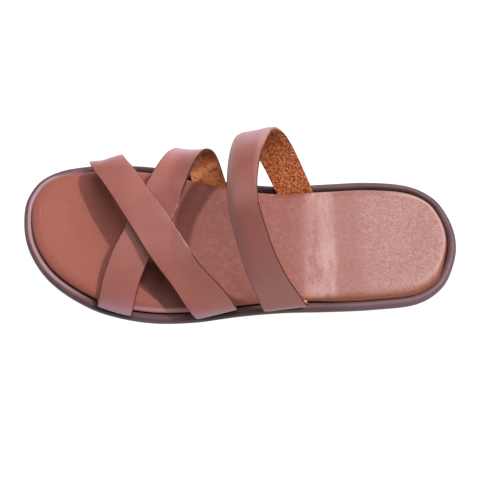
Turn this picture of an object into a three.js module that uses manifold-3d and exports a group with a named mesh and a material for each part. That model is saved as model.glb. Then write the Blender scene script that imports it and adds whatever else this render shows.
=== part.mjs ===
// Palm slipper for the left foot: a moulded sole with a rounded rim, a padded footbed lying
// in the sole's recess, two leather straps that cross over the toes and one over the instep.
// Millimetres, +Z up. The toe points to +X and the little-toe side to +Y.

import * as THREE from 'three';
import { mergeVertices } from 'three/addons/utils/BufferGeometryUtils.js';
import Module from 'manifold-3d';

const wasm = await Module();
wasm.setup();

// Driving sizes of the last and of the sole
const length = 284.5;
const ballWidth = 108;
const forefootHeight = 13;
const heelHeight = 19.5;
const toeSpring = 5;
const rimToeLift = 3.5;
const archLift = 2.6;

// Rim and side of the sole
const rimWidth = 6;
const rimCrestInset = 3.1;
const rimFall = 4.2;
const rimInnerFall = 2.1;
const rimUndercut = 3.6;
const recessDepth = 4.6;
const treadThickness = 3.8;
const treadInset = 5.2;
const treadBevel = 1.4;
const partingDepth = 0.7;
const partingWidth = 0.8;

// Tread grooves
const grooveWidth = 2.6;
const grooveDepth = 1.4;
const groovePitch = 9;
const forefootGrooves = { from: 0.55, count: 9 };
const heelGrooves = { from: 0.085, count: 6 };

// Straps and footbed
const strapThickness = 1.5;
const clearance = 0.35;
const footbedStand = 4.6;
const footbedEdgeWidth = 5;
const footbedEdgeFall = 3.2;
const footbedCup = 1.2;
const cupFrom = 0.11;
const cupTo = 0.2;
const instepHeight = 67;
const ballHeight = 33;
const weld = 0.35;

// Fineness of the faceted solids
const outlineSteps = 96;
const strapRows = 44;
const strapColumns = 4;

// The channel between rim and footbed takes the strap ends
const channelWidth = strapThickness + 2 * clearance;
const channelInset = rimWidth + channelWidth / 2;
const footbedInset = rimWidth + channelWidth;

// Outline of the sole from heel (0) to toe (1), as shares of the ball width
const outline = [
  { at: 0, inner: -0.013, outer: -0.013 },
  { at: 0.01, inner: -0.16, outer: 0.124 },
  { at: 0.04, inner: -0.294, outer: 0.269 },
  { at: 0.1, inner: -0.38, outer: 0.371 },
  { at: 0.2, inner: -0.406, outer: 0.406 },
  { at: 0.3, inner: -0.395, outer: 0.418 },
  { at: 0.4, inner: -0.388, outer: 0.421 },
  { at: 0.5, inner: -0.419, outer: 0.439 },
  { at: 0.6, inner: -0.48, outer: 0.471 },
  { at: 0.7, inner: -0.539, outer: 0.47 },
  { at: 0.8, inner: -0.552, outer: 0.416 },
  { at: 0.87, inner: -0.54, outer: 0.331 },
  { at: 0.93, inner: -0.5, outer: 0.215 },
  { at: 0.97, inner: -0.43, outer: 0.08 },
  { at: 0.99, inner: -0.347, outer: -0.039 },
  { at: 1, inner: -0.219, outer: -0.219 },
];

// Side profile: heel rise, toe spring and arch, each as a share of its named size
const profile = [
  { at: 0, rise: 1, spring: 0, arch: 0.25 },
  { at: 0.05, rise: 1, spring: 0, arch: 0 },
  { at: 0.28, rise: 0.92, spring: 0, arch: 0 },
  { at: 0.42, rise: 0.58, spring: 0, arch: 1 },
  { at: 0.53, rise: 0.22, spring: 0, arch: 0 },
  { at: 0.7, rise: 0, spring: 0, arch: 0 },
  { at: 0.78, rise: 0, spring: 0.02, arch: 0 },
  { at: 0.88, rise: 0, spring: 0.28, arch: 0 },
  { at: 1, rise: 0, spring: 1, arch: 0 },
];

// Ridge of the last: height over the rim and forward lean of each section in degrees
const ridge = [
  { at: 0.34, instep: 1, ball: 0, lean: 28 },
  { at: 0.42, instep: 0.9, ball: 0, lean: 23 },
  { at: 0.53, instep: 0.2, ball: 0.9, lean: 18 },
  { at: 0.62, instep: 0, ball: 1, lean: 17 },
  { at: 0.72, instep: 0, ball: 0.97, lean: 18 },
  { at: 0.81, instep: 0, ball: 0.84, lean: 18 },
  { at: 0.9, instep: 0, ball: 0.62, lean: 16 },
];

// Sections of the last from the outer channel (0 across) to the inner one (1 across), and from
// the rim (0 up) to the ridge (1 up), at the instep, the ball and the toes
const section = [
  { instepAcross: 0, instepUp: 0, ballAcross: 0, ballUp: 0, toeAcross: 0, toeUp: 0 },
  { instepAcross: -0.1, instepUp: 0.12, ballAcross: -0.07, ballUp: 0.18, toeAcross: -0.05, toeUp: 0.18 },
  { instepAcross: -0.01, instepUp: 0.28, ballAcross: 0.01, ballUp: 0.38, toeAcross: 0.01, toeUp: 0.38 },
  { instepAcross: 0.14, instepUp: 0.54, ballAcross: 0.17, ballUp: 0.57, toeAcross: 0.17, toeUp: 0.58 },
  { instepAcross: 0.34, instepUp: 0.78, ballAcross: 0.33, ballUp: 0.7, toeAcross: 0.33, toeUp: 0.71 },
  { instepAcross: 0.56, instepUp: 0.96, ballAcross: 0.49, ballUp: 0.77, toeAcross: 0.49, toeUp: 0.8 },
  { instepAcross: 0.8, instepUp: 1, ballAcross: 0.65, ballUp: 0.88, toeAcross: 0.64, toeUp: 0.9 },
  { instepAcross: 1.07, instepUp: 0.93, ballAcross: 0.81, ballUp: 0.98, toeAcross: 0.78, toeUp: 0.98 },
  { instepAcross: 1.26, instepUp: 0.78, ballAcross: 0.97, ballUp: 0.94, toeAcross: 0.88, toeUp: 0.99 },
  { instepAcross: 1.29, instepUp: 0.57, ballAcross: 1.11, ballUp: 0.77, toeAcross: 0.96, toeUp: 0.83 },
  { instepAcross: 1.2, instepUp: 0.33, ballAcross: 1.17, ballUp: 0.45, toeAcross: 1, toeUp: 0.44 },
  { instepAcross: 1, instepUp: 0, ballAcross: 1, ballUp: 0, toeAcross: 1, toeUp: 0 },
];
const instepToBall = { from: 0.42, to: 0.6 };
const ballToToe = { from: 0.64, to: 0.78 };

// Front and back edge of each strap as places along the last, from outer (0) to inner (1) end
const instepStrap = [
  { turn: 0, front: 0.428, back: 0.338 },
  { turn: 0.2, front: 0.43, back: 0.342 },
  { turn: 0.35, front: 0.433, back: 0.337 },
  { turn: 0.5, front: 0.437, back: 0.332 },
  { turn: 0.65, front: 0.436, back: 0.325 },
  { turn: 0.8, front: 0.429, back: 0.322 },
  { turn: 1, front: 0.406, back: 0.322 },
];
const lowerCrossStrap = [
  { turn: 0, front: 0.813, back: 0.74 },
  { turn: 0.2, front: 0.786, back: 0.706 },
  { turn: 0.35, front: 0.748, back: 0.665 },
  { turn: 0.5, front: 0.702, back: 0.616 },
  { turn: 0.65, front: 0.659, back: 0.568 },
  { turn: 0.8, front: 0.629, back: 0.534 },
  { turn: 1, front: 0.606, back: 0.522 },
];
const upperCrossStrap = [
  { turn: 0, front: 0.575, back: 0.498, ride: 0 },
  { turn: 0.2, front: 0.602, back: 0.508, ride: 0.55 },
  { turn: 0.35, front: 0.658, back: 0.559, ride: 1 },
  { turn: 0.5, front: 0.714, back: 0.614, ride: 1 },
  { turn: 0.65, front: 0.771, back: 0.673, ride: 1 },
  { turn: 0.8, front: 0.81, back: 0.724, ride: 0.55 },
  { turn: 1, front: 0.831, back: 0.751, ride: 0 },
];

// Value of a column between two rows of a table, by a smooth cubic. A level column
// keeps flat stretches flat and never runs past its rows.
function between(rows, key, column, place, level = false) {
  let i = 0;
  while (i < rows.length - 2 && place > rows[i + 1][key]) i += 1;
  const slope = (a) => (rows[a + 1][column] - rows[a][column]) / (rows[a + 1][key] - rows[a][key]);
  const tangent = (a) => {
    if (a === 0) return slope(0);
    if (a === rows.length - 1) return slope(a - 1);
    const before = slope(a - 1);
    const after = slope(a);
    if (level && before * after <= 0) return 0;
    if (level) return (2 * before * after) / (before + after);
    return (rows[a + 1][column] - rows[a - 1][column]) / (rows[a + 1][key] - rows[a - 1][key]);
  };
  const span = rows[i + 1][key] - rows[i][key];
  const t = Math.min(1, Math.max(0, (place - rows[i][key]) / span));
  const u = 1 - t;
  const ends = (1 + 2 * t) * u * u * rows[i][column] + t * t * (3 - 2 * t) * rows[i + 1][column];
  return ends + t * u * span * (u * tangent(i) - t * tangent(i + 1));
}

// The outline runs once round by an angle: 0 at the heel tip, pi at the toe tip, inner side first
const angleOf = (at) => Math.acos(1 - 2 * at);
const fullTurn = 2 * Math.PI;
const innerRows = outline.map((row) => ({ angle: angleOf(row.at), wide: row.inner }));
const outerRows = outline.map((row) => ({ angle: fullTurn - angleOf(row.at), wide: row.outer }));
const loopRows = [...innerRows, ...outerRows.slice(0, -1).reverse()];
const loop = [
  { angle: loopRows.at(-2).angle - fullTurn, wide: loopRows.at(-2).wide },
  ...loopRows,
  { angle: loopRows[1].angle + fullTurn, wide: loopRows[1].wide },
];
const alongOf = (share) => (share - 0.5) * length;
const shareOf = (x) => Math.min(1, Math.max(0, x / length + 0.5));

function outlinePoint(angle, inset) {
  const place = (a) => new THREE.Vector2(
    alongOf((1 - Math.cos(a)) / 2),
    ballWidth * between(loop, 'angle', 'wide', a),
  );
  const step = 0.01;
  const tangent = place(angle + step).sub(place(angle - step)).normalize();
  return place(angle).add(new THREE.Vector2(-tangent.y, tangent.x).multiplyScalar(inset));
}

function ring(inset, heightAt) {
  const points = [];
  for (let i = 0; i < outlineSteps; i += 1) {
    const flat = outlinePoint((fullTurn * i) / outlineSteps, inset);
    points.push(new THREE.Vector3(flat.x, flat.y, heightAt(flat.x)));
  }
  return points;
}

// Heights of the ground side, the rim's crest and the footbed at a place along the sole
const soleBottom = (x) => {
  const share = shareOf(x);
  return toeSpring * between(profile, 'at', 'spring', share, true)
    + archLift * between(profile, 'at', 'arch', share, true);
};
const rimTop = (x) => {
  const share = shareOf(x);
  return forefootHeight + (heelHeight - forefootHeight) * between(profile, 'at', 'rise', share, true)
    + rimToeLift * between(profile, 'at', 'spring', share, true);
};
const over = (base, height) => (x) => base(x) + height;

// A closed solid from a stack of rings with a flat end below and one above
function stackSolid(rings) {
  const positions = rings.flat().flatMap((p) => [p.x, p.y, p.z]);
  const index = [];
  const n = outlineSteps;
  for (let k = 0; k < rings.length - 1; k += 1) {
    for (let i = 0; i < n; i += 1) {
      const a = k * n + i;
      const b = k * n + ((i + 1) % n);
      index.push(a, b, b + n, a, b + n, a + n);
    }
  }
  const cap = (base, up) => {
    const add = (a, b, c) => index.push(base + a, base + (up ? b : c), base + (up ? c : b));
    for (let i = 0; i < n / 2; i += 1) {
      const left = (n - i) % n;
      const nextLeft = n - i - 1;
      if (i > 0) add(left, i, i + 1);
      if (i + 1 < n / 2) add(left, i + 1, nextLeft);
    }
  };
  cap(0, false);
  cap((rings.length - 1) * n, true);
  return solidOf(positions, index);
}

function solidOf(positions, index) {
  const geometry = new THREE.BufferGeometry();
  geometry.setAttribute('position', new THREE.Float32BufferAttribute(positions, 3));
  geometry.setIndex(index);
  return geometry;
}

function toManifold(geometry) {
  const plain = new THREE.BufferGeometry();
  const flat = geometry.index ? geometry.toNonIndexed() : geometry;
  plain.setAttribute('position', flat.getAttribute('position'));
  const merged = mergeVertices(plain, 1e-4);
  return new wasm.Manifold(new wasm.Mesh({
    numProp: 3,
    vertProperties: new Float32Array(merged.getAttribute('position').array),
    triVerts: new Uint32Array(merged.index.array),
  }));
}

function fromManifold(solid) {
  const mesh = solid.getMesh();
  return solidOf(Array.from(mesh.vertProperties), Array.from(mesh.triVerts));
}

// Moulded sole: tread layer, parting groove, side wall, rounded rim and the recess inside it
function soleGeometry() {
  const partingTop = treadThickness + partingWidth;
  const rimSteps = 5;
  const rings = [
    ring(treadInset + treadBevel, soleBottom),
    ring(treadInset, over(soleBottom, treadBevel)),
    ring(treadInset - partingDepth, over(soleBottom, treadThickness)),
    ring(treadInset, over(soleBottom, treadThickness + partingWidth / 4)),
    ring(treadInset, over(soleBottom, partingTop)),
    ring(treadInset - partingDepth, over(soleBottom, partingTop + partingWidth / 4)),
    ring(rimUndercut, over(rimTop, -rimFall - rimInnerFall)),
    ring(rimUndercut / 4, over(rimTop, -rimFall - rimInnerFall / 3)),
  ];
  for (let i = 0; i <= rimSteps; i += 1) {
    const bend = (Math.PI / 2) * (i / rimSteps);
    rings.push(ring(rimCrestInset * (1 - Math.cos(bend)), over(rimTop, rimFall * (Math.sin(bend) - 1))));
  }
  rings.push(ring((rimCrestInset + rimWidth) / 2, over(rimTop, -rimInnerFall / 4)));
  rings.push(ring(rimWidth, over(rimTop, -rimInnerFall)));
  rings.push(ring(rimWidth, over(rimTop, -recessDepth)));
  let sole = toManifold(stackSolid(rings));
  for (const bar of treadBars()) sole = sole.subtract(bar);
  return fromManifold(sole);
}

// Bars that cut the grooves across the tread, under the ball and under the heel
function treadBars() {
  const bars = [];
  for (const { from, count } of [forefootGrooves, heelGrooves]) {
    for (let i = 0; i < count; i += 1) {
      const x = alongOf(from) + groovePitch * i;
      const bar = new THREE.BoxGeometry(grooveWidth, 2 * ballWidth, 2 * grooveDepth);
      bar.translate(x, 0, soleBottom(x));
      bars.push(toManifold(bar));
    }
  }
  return bars;
}

// Padded footbed: stands in the recess, a channel's width inside the rim, with a rolled edge
function footbedGeometry() {
  const foot = clearance - recessDepth;
  const rings = [ring(footbedInset, over(rimTop, foot))];
  const edgeSteps = 4;
  for (let i = 0; i <= edgeSteps; i += 1) {
    const bend = (Math.PI / 2) * (i / edgeSteps);
    const inset = footbedInset + footbedEdgeWidth * (1 - Math.cos(bend));
    rings.push(ring(inset, over(rimTop, footbedStand - footbedEdgeFall * (1 - Math.sin(bend)))));
  }
  rings.push(ring(footbedInset + cupFrom * ballWidth, over(rimTop, footbedStand - footbedCup / 2)));
  rings.push(ring(footbedInset + cupTo * ballWidth, over(rimTop, footbedStand - footbedCup)));
  return stackSolid(rings);
}

// Middle of the channel beside the footbed, at a place along the sole
function channelPoint(share, side) {
  const angle = (s) => (side > 0 ? fullTurn - angleOf(s) : angleOf(s));
  const wide = (s) => ballWidth * between(loop, 'angle', 'wide', angle(s));
  const step = 0.002;
  const slope = (wide(share + step) - wide(share - step)) / (2 * step * length);
  return wide(share) - side * channelInset * Math.hypot(1, slope);
}

// Point of the last: place along it, and the way over it from the outer (0) to the inner side (1)
function lastPoint(share, way) {
  const rows = section.map((row, i) => ({ ...row, way: i / (section.length - 1) }));
  const blend = ({ from, to }) => THREE.MathUtils.clamp((share - from) / (to - from), 0, 1);
  const mix = (part) => {
    const [instep, ball, toe] = ['instep', 'ball', 'toe'].map((at) => between(rows, 'way', at + part, way));
    const rear = THREE.MathUtils.lerp(instep, ball, blend(instepToBall));
    return THREE.MathUtils.lerp(rear, toe, blend(ballToToe));
  };
  const across = mix('Across');
  const up = mix('Up');
  const height = instepHeight * between(ridge, 'at', 'instep', share, true)
    + ballHeight * between(ridge, 'at', 'ball', share, true);
  const lean = Math.tan(THREE.MathUtils.degToRad(between(ridge, 'at', 'lean', share, true)));
  const outer = channelPoint(share, 1);
  const inner = channelPoint(share, -1);
  const x = alongOf(share);
  const y = THREE.MathUtils.lerp(outer, inner, across);
  return new THREE.Vector3(x + height * up * lean, y, rimTop(x) + height * up);
}

// A leather band over the last: its ends stand in the channel, and where it rides
// on another band it lies one thickness higher
function strapGeometry(rows) {
  const rideHeight = strapThickness - weld;
  const endDepth = recessDepth - clearance;
  const rides = rows[0].ride !== undefined;
  const middle = (way, wide) => {
    const on = Math.min(1, Math.max(0, way));
    const back = between(rows, 'turn', 'back', on);
    const front = between(rows, 'turn', 'front', on);
    const point = lastPoint(front + (back - front) * wide, on);
    point.z -= endDepth * strapRows * Math.abs(way - on);
    return point;
  };
  const outside = [];
  const inside = [];
  const step = 1e-3;
  for (let j = -1; j <= strapRows + 1; j += 1) {
    for (let k = 0; k <= strapColumns; k += 1) {
      const way = j / strapRows;
      const wide = k / strapColumns;
      const along = middle(way + step, wide).sub(middle(way - step, wide));
      const sideways = middle(way, wide + step).sub(middle(way, wide - step));
      const normal = sideways.cross(along).normalize();
      const centre = middle(way, wide);
      if (rides) centre.addScaledVector(normal, rideHeight * between(rows, 'turn', 'ride', way, true));
      outside.push(centre.clone().addScaledVector(normal, strapThickness / 2));
      inside.push(centre.clone().addScaledVector(normal, -strapThickness / 2));
    }
  }
  return sheetSolid(outside, inside, strapRows + 3, strapColumns + 1);
}

// A closed solid between an outer and an inner grid of points
function sheetSolid(outside, inside, rowCount, columnCount) {
  const positions = [...outside, ...inside].flatMap((p) => [p.x, p.y, p.z]);
  const index = [];
  const shift = outside.length;
  const quad = (a, b, c, d) => index.push(a, b, c, a, c, d);
  for (let j = 0; j < rowCount - 1; j += 1) {
    for (let k = 0; k < columnCount - 1; k += 1) {
      const a = j * columnCount + k;
      const b = a + columnCount;
      quad(a, a + 1, b + 1, b);
      quad(shift + a, shift + b, shift + b + 1, shift + a + 1);
    }
    const first = j * columnCount;
    const last = first + columnCount - 1;
    quad(first, first + columnCount, shift + first + columnCount, shift + first);
    quad(last, shift + last, shift + last + columnCount, last + columnCount);
  }
  for (let k = 0; k < columnCount - 1; k += 1) {
    const end = (rowCount - 1) * columnCount + k;
    quad(k, shift + k, shift + k + 1, k + 1);
    quad(end, end + 1, shift + end + 1, shift + end);
  }
  return solidOf(positions, index);
}

// The two straps that cross over the toes are one upper, joined where the second lies on the first
function crossStrapGeometry() {
  const lower = toManifold(strapGeometry(lowerCrossStrap));
  const upper = toManifold(strapGeometry(upperCrossStrap));
  return fromManifold(lower.add(upper));
}

function piece(name, geometry, color, roughness) {
  geometry.computeVertexNormals();
  const material = new THREE.MeshStandardMaterial({ color, roughness, metalness: 0 });
  const mesh = new THREE.Mesh(geometry, material);
  mesh.name = name;
  return mesh;
}

const group = new THREE.Group();
group.add(piece('sole', soleGeometry(), 0x46303a, 0.55));
group.add(piece('footbed', footbedGeometry(), 0xb26f66, 0.5));
group.add(piece('cross_straps', crossStrapGeometry(), 0xa0665f, 0.45));
group.add(piece('instep_strap', strapGeometry(instepStrap), 0xa0665f, 0.45));

// The origin lies on the ground under the middle of the whole slipper
const extent = new THREE.Box3().setFromObject(group);
const middle = extent.getCenter(new THREE.Vector3());
for (const mesh of group.children) mesh.position.set(-middle.x, -middle.y, -extent.min.z);

export default group;
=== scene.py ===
"""Left palm slipper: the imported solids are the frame, and a fine mesh of the same form dresses each.

Metres, +Z up. The toe points to +X and the little-toe side to +Y.
"""

import logging
import math
from dataclasses import dataclass, field
from enum import Enum, IntEnum
from typing import Any

import bpy
import numpy as np
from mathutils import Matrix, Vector


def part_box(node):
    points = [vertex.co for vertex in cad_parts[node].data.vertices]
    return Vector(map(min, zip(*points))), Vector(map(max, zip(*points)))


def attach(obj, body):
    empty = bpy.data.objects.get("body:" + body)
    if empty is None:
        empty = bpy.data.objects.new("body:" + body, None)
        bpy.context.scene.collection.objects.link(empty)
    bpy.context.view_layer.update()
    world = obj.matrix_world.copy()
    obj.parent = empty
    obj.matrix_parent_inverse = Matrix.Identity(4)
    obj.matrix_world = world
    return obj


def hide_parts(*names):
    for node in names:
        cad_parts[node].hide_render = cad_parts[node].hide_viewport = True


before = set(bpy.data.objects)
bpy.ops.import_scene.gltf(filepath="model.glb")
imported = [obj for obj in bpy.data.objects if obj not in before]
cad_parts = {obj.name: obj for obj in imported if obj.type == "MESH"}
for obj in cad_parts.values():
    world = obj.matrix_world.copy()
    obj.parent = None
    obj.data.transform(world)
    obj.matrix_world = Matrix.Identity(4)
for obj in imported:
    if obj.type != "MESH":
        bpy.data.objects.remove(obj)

log = logging.getLogger("palm_slipper")
NAP_MARK = "flesh"
MM = 0.001
Array = np.ndarray
Colour = tuple[float, float, float]
Reach = tuple[float, float]


class Side(Enum):
    """The two long sides of the slipper."""

    OUTER = 1
    INNER = -1


class Face(IntEnum):
    """Material slots of a leather band, by the face of the hide that shows."""

    GRAIN = 0
    CUT = 1
    FLESH = 2


# ---------------------------------------------------------------- form


def cubic(keys: Array, values: Array, place: Array, level: bool = False) -> Array:
    """Reads a value between given rows by a smooth cubic.

    Args:
        keys: Places of the rows, rising.
        values: Value at each row.
        place: Places to read.
        level: Keeps flat stretches flat and never runs past the rows.

    Returns:
        The value at each place.
    """
    slope = np.diff(values) / np.diff(keys)
    tangent = np.empty_like(values)
    tangent[0], tangent[-1] = slope[0], slope[-1]
    before, after = slope[:-1], slope[1:]
    if level:
        same = before * after > 0
        tangent[1:-1] = np.where(same, 2 * before * after / np.where(same, before + after, 1), 0)
    else:
        tangent[1:-1] = (values[2:] - values[:-2]) / (keys[2:] - keys[:-2])
    i = np.clip(np.searchsorted(keys, place, "left") - 1, 0, len(keys) - 2)
    span = keys[i + 1] - keys[i]
    t = np.clip((place - keys[i]) / span, 0, 1)
    u = 1 - t
    ends = (1 + 2 * t) * u * u * values[i] + t * t * (3 - 2 * t) * values[i + 1]
    return ends + t * u * span * (u * tangent[i] - t * tangent[i + 1])


def smooth(low: float, high: float, value: Array) -> Array:
    """Eases from 0 at low to 1 at high."""
    t = np.clip((value - low) / (high - low), 0, 1)
    return t * t * (3 - 2 * t)


@dataclass(frozen=True)
class Table:
    """A short table of listed shares, read along its first column."""

    columns: tuple[str, ...]
    rows: tuple[tuple[float, ...], ...]

    def column(self, name: str) -> Array:
        """Gives one column as numbers."""
        return np.array([row[self.columns.index(name)] for row in self.rows], float)

    def at(self, name: str, place: Array, level: bool = False) -> Array:
        """Reads a column at the given places."""
        return cubic(self.column(self.columns[0]), self.column(name), np.asarray(place, float), level)


OUTLINE = Table(
    ("at", "inner", "outer"),
    (
        (0, -0.013, -0.013),
        (0.01, -0.16, 0.124),
        (0.04, -0.294, 0.269),
        (0.1, -0.38, 0.371),
        (0.2, -0.406, 0.406),
        (0.3, -0.395, 0.418),
        (0.4, -0.388, 0.421),
        (0.5, -0.419, 0.439),
        (0.6, -0.48, 0.471),
        (0.7, -0.539, 0.47),
        (0.8, -0.552, 0.416),
        (0.87, -0.54, 0.331),
        (0.93, -0.5, 0.215),
        (0.97, -0.43, 0.08),
        (0.99, -0.347, -0.039),
        (1, -0.219, -0.219),
    ),
)
PROFILE = Table(
    ("at", "rise", "spring", "arch"),
    (
        (0, 1, 0, 0.25),
        (0.05, 1, 0, 0),
        (0.28, 0.92, 0, 0),
        (0.42, 0.58, 0, 1),
        (0.53, 0.22, 0, 0),
        (0.7, 0, 0, 0),
        (0.78, 0, 0.02, 0),
        (0.88, 0, 0.28, 0),
        (1, 0, 1, 0),
    ),
)
RIDGE = Table(
    ("at", "instep", "ball", "lean"),
    (
        (0.34, 1, 0, 28),
        (0.42, 0.9, 0, 23),
        (0.53, 0.2, 0.9, 18),
        (0.62, 0, 1, 17),
        (0.72, 0, 0.97, 18),
        (0.81, 0, 0.84, 18),
        (0.9, 0, 0.62, 16),
    ),
)
SECTION = Table(
    ("row", "instep_across", "instep_up", "ball_across", "ball_up", "toe_across", "toe_up"),
    (
        (0, 0, 0, 0, 0, 0, 0),
        (1, -0.1, 0.12, -0.07, 0.18, -0.05, 0.18),
        (2, -0.01, 0.28, 0.01, 0.38, 0.01, 0.38),
        (3, 0.14, 0.54, 0.17, 0.57, 0.17, 0.58),
        (4, 0.34, 0.78, 0.33, 0.7, 0.33, 0.71),
        (5, 0.56, 0.96, 0.49, 0.77, 0.49, 0.8),
        (6, 0.8, 1, 0.65, 0.88, 0.64, 0.9),
        (7, 1.07, 0.93, 0.81, 0.98, 0.78, 0.98),
        (8, 1.26, 0.78, 0.97, 0.94, 0.88, 0.99),
        (9, 1.29, 0.57, 1.11, 0.77, 0.96, 0.83),
        (10, 1.2, 0.33, 1.17, 0.45, 1, 0.44),
        (11, 1, 0, 1, 0, 1, 0),
    ),
)
INSTEP_CUT = Table(
    ("turn", "front", "back", "ride", "rise"),
    (
        (0, 0.429, 0.34, 0, 0),
        (0.2, 0.435, 0.35, 0, 5.2),
        (0.35, 0.438, 0.343, 0, 5.2),
        (0.5, 0.44, 0.335, 0, 1.2),
        (0.65, 0.436, 0.325, 0, 0),
        (0.8, 0.429, 0.322, 0, 0),
        (1, 0.406, 0.322, 0, 0),
    ),
)
LOWER_CROSS_CUT = Table(
    ("turn", "front", "back", "ride", "rise"),
    (
        (0, 0.813, 0.74, 0, 0),
        (0.2, 0.786, 0.706, 0, -2.6),
        (0.35, 0.748, 0.665, 0, -2.7),
        (0.5, 0.702, 0.616, 0, -2.2),
        (0.65, 0.659, 0.568, 0, -0.6),
        (0.8, 0.629, 0.534, 0, 0),
        (1, 0.606, 0.522, 0, 0),
    ),
)
UPPER_CROSS_CUT = Table(
    ("turn", "front", "back", "ride", "rise"),
    (
        (0, 0.568, 0.498, 0, 0),
        (0.2, 0.602, 0.508, 0.55, 3.1),
        (0.35, 0.658, 0.559, 1, 3.6),
        (0.5, 0.714, 0.614, 1, 1.8),
        (0.65, 0.771, 0.677, 1, -3.6),
        (0.8, 0.81, 0.73, 0.55, -4.4),
        (1, 0.831, 0.757, 0, 0),
    ),
)


@dataclass(frozen=True)
class Form:
    """Sizes of the last and the sole, which every piece follows."""

    length: float = 284.5 * MM
    ball_width: float = 108 * MM
    forefoot_height: float = 13 * MM
    heel_height: float = 19.5 * MM
    toe_spring: float = 5 * MM
    rim_toe_lift: float = 3.5 * MM
    arch_lift: float = 2.6 * MM
    rim_width: float = 6 * MM
    recess_depth: float = 4.6 * MM
    strap_thickness: float = 1.5 * MM
    clearance: float = 0.35 * MM
    instep_height: float = 67 * MM
    ball_height: float = 33 * MM
    instep_to_ball: tuple[float, float] = (0.42, 0.6)
    ball_to_toe: tuple[float, float] = (0.64, 0.78)

    @property
    def channel_width(self) -> float:
        """Width of the channel that takes the strap ends."""
        return self.strap_thickness + 2 * self.clearance

    @property
    def footbed_inset(self) -> float:
        """Distance from the outline to the footbed's wall."""
        return self.rim_width + self.channel_width

    def along(self, share: Array) -> Array:
        """Place along the sole of a share of its length."""
        return (np.asarray(share, float) - 0.5) * self.length

    def share(self, x: Array) -> Array:
        """Share of the length at a place along the sole."""
        return np.clip(np.asarray(x, float) / self.length + 0.5, 0, 1)

    def wide(self, angle: Array) -> Array:
        """Sideways place of the outline.

        Args:
            angle: Angles: 0 at the heel tip, pi at the toe tip, inner side first.

        Returns:
            Place at each.
        """
        at = np.arccos(1 - 2 * OUTLINE.column("at"))
        turn = np.concatenate([at, (2 * np.pi - at[:-1])[::-1]])
        side = np.concatenate([OUTLINE.column("inner"), OUTLINE.column("outer")[:-1][::-1]])
        turn = np.concatenate([[turn[-2] - 2 * np.pi], turn, [turn[1] + 2 * np.pi]])
        side = np.concatenate([[side[-2]], side, [side[1]]])
        return self.ball_width * cubic(turn, side, angle)

    def outline(self, angle: Array, inset: Array | float) -> Array:
        """Points of the outline, moved inwards.

        Args:
            angle: Angles round the outline.
            inset: Distance inwards, one for all or one each.

        Returns:
            Rows of x and y.
        """
        step = 0.01

        def place(a: Array) -> Array:
            """Point of the outline itself."""
            return np.stack([self.along((1 - np.cos(a)) / 2), self.wide(a)], -1)

        tangent = place(angle + step) - place(angle - step)
        tangent /= np.linalg.norm(tangent, axis=-1, keepdims=True)
        normal = np.stack([-tangent[..., 1], tangent[..., 0]], -1)
        return place(angle) + normal * np.broadcast_to(inset, angle.shape)[..., None]

    def sole_bottom(self, x: Array) -> Array:
        """Height of the ground side, with arch and toe spring."""
        spring, arch = (PROFILE.at(name, self.share(x), True) for name in ("spring", "arch"))
        return self.toe_spring * spring + self.arch_lift * arch

    def rim_top(self, x: Array) -> Array:
        """Height of the rim's crest."""
        rise, spring = (PROFILE.at(name, self.share(x), True) for name in ("rise", "spring"))
        step = self.heel_height - self.forefoot_height
        return self.forefoot_height + step * rise + self.rim_toe_lift * spring

    def channel(self, share: Array, side: Side) -> Array:
        """Sideways place of the middle of the channel that takes the strap ends.

        Args:
            share: Share of the length.
            side: Side of the slipper.

        Returns:
            Place at each share.
        """

        def wide(s: Array) -> Array:
            """Outline at a share of the length, on this side."""
            angle = np.arccos(1 - 2 * s)
            return self.wide(2 * np.pi - angle if side is Side.OUTER else angle)

        step = 0.002
        slope = (wide(share + step) - wide(share - step)) / (2 * step * self.length)
        inset = self.rim_width + self.channel_width / 2
        return wide(share) - side.value * inset * np.hypot(1, slope)

    def last(self, share: Array, way: Array) -> Array:
        """Points of the last.

        Args:
            share: Place along the last.
            way: Way over it, from the outer side (0) to the inner side (1).

        Returns:
            Points, in the last axis.
        """
        row = np.asarray(way, float) * (len(SECTION.rows) - 1)
        to_ball = np.clip((share - self.instep_to_ball[0]) / np.ptp(self.instep_to_ball), 0, 1)
        to_toe = np.clip((share - self.ball_to_toe[0]) / np.ptp(self.ball_to_toe), 0, 1)

        def mix(part: str) -> Array:
            """Section value at this place, between instep, ball and toes."""
            instep, ball, toe = (SECTION.at(f"{zone}_{part}", row) for zone in ("instep", "ball", "toe"))
            return (instep + (ball - instep) * to_ball) * (1 - to_toe) + toe * to_toe

        instep, ball, lean = (RIDGE.at(name, share, True) for name in ("instep", "ball", "lean"))
        up = (self.instep_height * instep + self.ball_height * ball) * mix("up")
        x = self.along(share)
        outer, inner = (self.channel(share, side) for side in Side)
        y = outer + (inner - outer) * mix("across")
        return np.stack([x + up * np.tan(np.radians(lean)), y, self.rim_top(x) + up], -1)

    def slide(self) -> Array:
        """Shift from the outline's own axis to the frame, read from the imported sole.

        Returns:
            The shift along x, y and z.
        """
        low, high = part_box("sole")
        ring = self.outline(np.linspace(0, 2 * np.pi, 721), 0.0)
        return np.array([0, (low.y + high.y) / 2 - (ring[:, 1].min() + ring[:, 1].max()) / 2, 0])


FORM = Form()
SLIDE = FORM.slide()


# ---------------------------------------------------------------- meshes


def grid_faces(rows: int, columns: int, base: int = 0, wrap: bool = False) -> Array:
    """Quads of a grid whose points run row by row.

    Args:
        rows: Number of rows.
        columns: Points in a row.
        base: Index of the first point.
        wrap: Joins each row's end to its start.

    Returns:
        One line of four indices for each quad.
    """
    across = np.arange(columns if wrap else columns - 1)
    start = (np.arange(rows - 1) * columns)[:, None]
    a = base + start + across
    b = base + start + (across + 1) % columns
    return np.stack([a, b, b + columns, a + columns], -1).reshape(-1, 4)


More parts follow.
